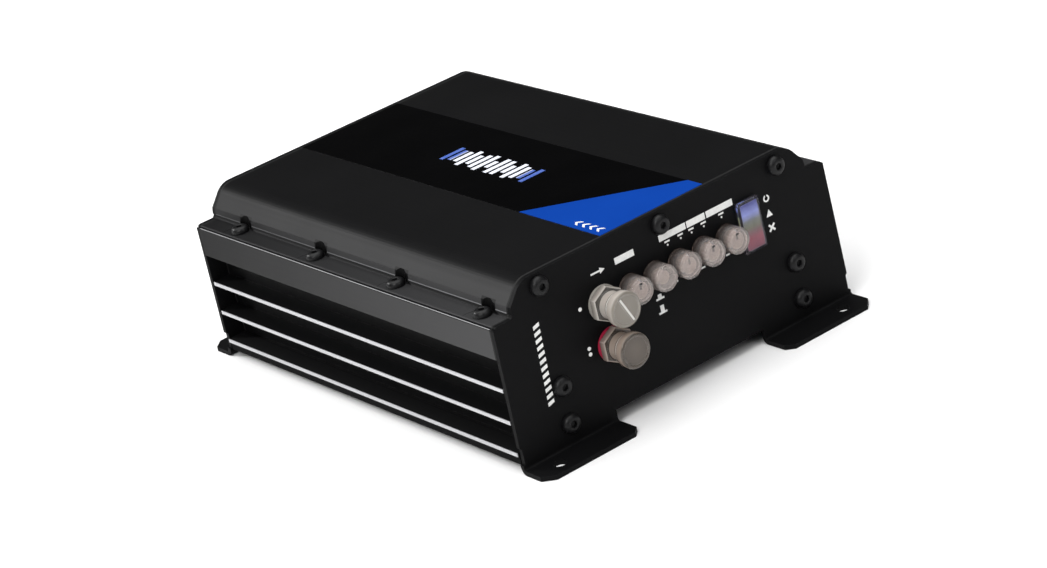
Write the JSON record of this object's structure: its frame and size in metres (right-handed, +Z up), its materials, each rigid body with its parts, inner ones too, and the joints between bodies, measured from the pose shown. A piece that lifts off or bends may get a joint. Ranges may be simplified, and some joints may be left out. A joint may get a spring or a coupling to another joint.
{
  "type": "car amplifier",
  "caption": "Compact car audio amplifier: finned extruded case, bent end panels with feet, capped signal inputs, covered controls and a status window.",
  "frame": {"origin": "on the mounting surface, at the centre of the four foot holes", "axes": "+X to the right along the control panel as its user sees it, +Y from the control end to the terminal end, +Z up through the deck"},
  "size_m": [0.1706, 0.2481, 0.0753],
  "materials": {
    "heatsink_black": "satin black coat with bare fin tips",
    "panel_black": "fine-texture black powder coat",
    "zinc_plate": "zinc plated",
    "gasket_rubber": "matte",
    "stripe_gloss": "high gloss film",
    "blue_gloss": "high gloss film",
    "badge_white": "printed",
    "print_white": "screen printed",
    "screw_black": "black oxide",
    "screw_steel": "zinc plated",
    "mould_black": "moulded",
    "pad_grey": "silicone pad",
    "board_green": "solder mask",
    "brass_spacer": "turned",
    "winding_copper": "enamelled copper",
    "can_blue": "sleeve",
    "pot_blue": "moulded",
    "knob_ivory": "moulded",
    "silicone_clear": "clear silicone",
    "silicone_milky": "translucent silicone",
    "jack_metal": "plated",
    "nut_metal": "nickel plated",
    "ring_white": "moulded",
    "ring_red": "moulded",
    "window_clear": "clear lens",
    "lamp_blue": "tinted lens",
    "lamp_yellow": "tinted lens",
    "lamp_red": "tinted lens",
    "socket_plated": "nickel plated brass"
  },
  "bodies": {
    "chassis": {"heatsink_shell": "heatsink_black", "bottom_cover": "panel_black", "front_panel": "panel_black", "rear_panel": "panel_black", "front_gasket": "gasket_rubber", "rear_gasket": "gasket_rubber", "deck_stripe": "stripe_gloss", "blue_inlay": "blue_gloss", "deck_badge": "badge_white", "panel_legend": "print_white", "front_panel_screws": "screw_black", "rear_panel_screws": "screw_black", "clamp_screws": "screw_black", "cover_screws": "screw_black", "clamp_bar_left": "zinc_plate", "clamp_bar_right": "zinc_plate", "transistors_left": "mould_black", "transistors_right": "mould_black", "thermal_pad_left": "pad_grey", "thermal_pad_right": "pad_grey", "main_board": "board_green", "board_spacers": "brass_spacer", "board_screws": "screw_steel", "power_transformer": "winding_copper", "transformer_clamp": "screw_steel", "output_inductors": "winding_copper", "input_capacitors": "can_blue", "rail_capacitors": "can_blue", "driver_card": "board_green", "control_board": "board_green", "gain_pot": "pot_blue", "subsonic_pot": "pot_blue", "lowpass_pot": "pot_blue", "boost_pot": "pot_blue", "filter_switch": "mould_black", "rca_jack_left": "jack_metal", "rca_jack_right": "jack_metal", "rca_nuts": "nut_metal", "rca_ring_left": "ring_white", "rca_ring_right": "ring_red", "led_window": "window_clear", "led_blue": "lamp_blue", "led_yellow": "lamp_yellow", "led_red": "lamp_red", "power_terminal": "mould_black", "speaker_terminal": "mould_black", "wire_sockets": "socket_plated", "wire_screws": "screw_steel"},
    "gain_knob": {"gain_knob": "knob_ivory"},
    "subsonic_knob": {"subsonic_knob": "knob_ivory"},
    "lowpass_knob": {"lowpass_knob": "knob_ivory"},
    "boost_knob": {"boost_knob": "knob_ivory"},
    "filter_button": {"filter_button": "knob_ivory"},
    "gain_cover": {"gain_cover": "silicone_clear"},
    "filter_cover": {"filter_cover": "silicone_clear"},
    "subsonic_cover": {"subsonic_cover": "silicone_clear"},
    "lowpass_cover": {"lowpass_cover": "silicone_clear"},
    "boost_cover": {"boost_cover": "silicone_clear"},
    "rca_cap_left": {"rca_cap_left": "silicone_milky"},
    "rca_cap_right": {"rca_cap_right": "silicone_milky"}
  },
  "joints": [
    {"name": "gain_turn", "type": "hinge", "parent": "chassis", "child": "gain_knob", "pos_m": [-0.0195, -0.1138, 0.051], "axis": [0, -1, 0], "range_deg": [-150, 150]},
    {"name": "subsonic_turn", "type": "hinge", "parent": "chassis", "child": "subsonic_knob", "pos_m": [0.0052, -0.1138, 0.051], "axis": [0, -1, 0], "range_deg": [-150, 150]},
    {"name": "lowpass_turn", "type": "hinge", "parent": "chassis", "child": "lowpass_knob", "pos_m": [0.01755, -0.1138, 0.051], "axis": [0, -1, 0], "range_deg": [-150, 150]},
    {"name": "boost_turn", "type": "hinge", "parent": "chassis", "child": "boost_knob", "pos_m": [0.0299, -0.1138, 0.051], "axis": [0, -1, 0], "range_deg": [-150, 150]},
    {"name": "filter_press", "type": "slide", "parent": "chassis", "child": "filter_button", "axis": [0, 1, 0], "range_m": [0, 0.002]},
    {"name": "gain_cover_off", "type": "slide", "parent": "chassis", "child": "gain_cover", "axis": [0, -1, 0], "range_m": [0, 0.009]},
    {"name": "filter_cover_off", "type": "slide", "parent": "chassis", "child": "filter_cover", "axis": [0, -1, 0], "range_m": [0, 0.009]},
    {"name": "subsonic_cover_off", "type": "slide", "parent": "chassis", "child": "subsonic_cover", "axis": [0, -1, 0], "range_m": [0, 0.009]},
    {"name": "lowpass_cover_off", "type": "slide", "parent": "chassis", "child": "lowpass_cover", "axis": [0, -1, 0], "range_m": [0, 0.009]},
    {"name": "boost_cover_off", "type": "slide", "parent": "chassis", "child": "boost_cover", "axis": [0, -1, 0], "range_m": [0, 0.009]},
    {"name": "rca_cap_left_off", "type": "slide", "parent": "chassis", "child": "rca_cap_left", "axis": [0, -1, 0], "range_m": [0, 0.015]},
    {"name": "rca_cap_right_off", "type": "slide", "parent": "chassis", "child": "rca_cap_right", "axis": [0, -1, 0], "range_m": [0, 0.015]}
  ]
}
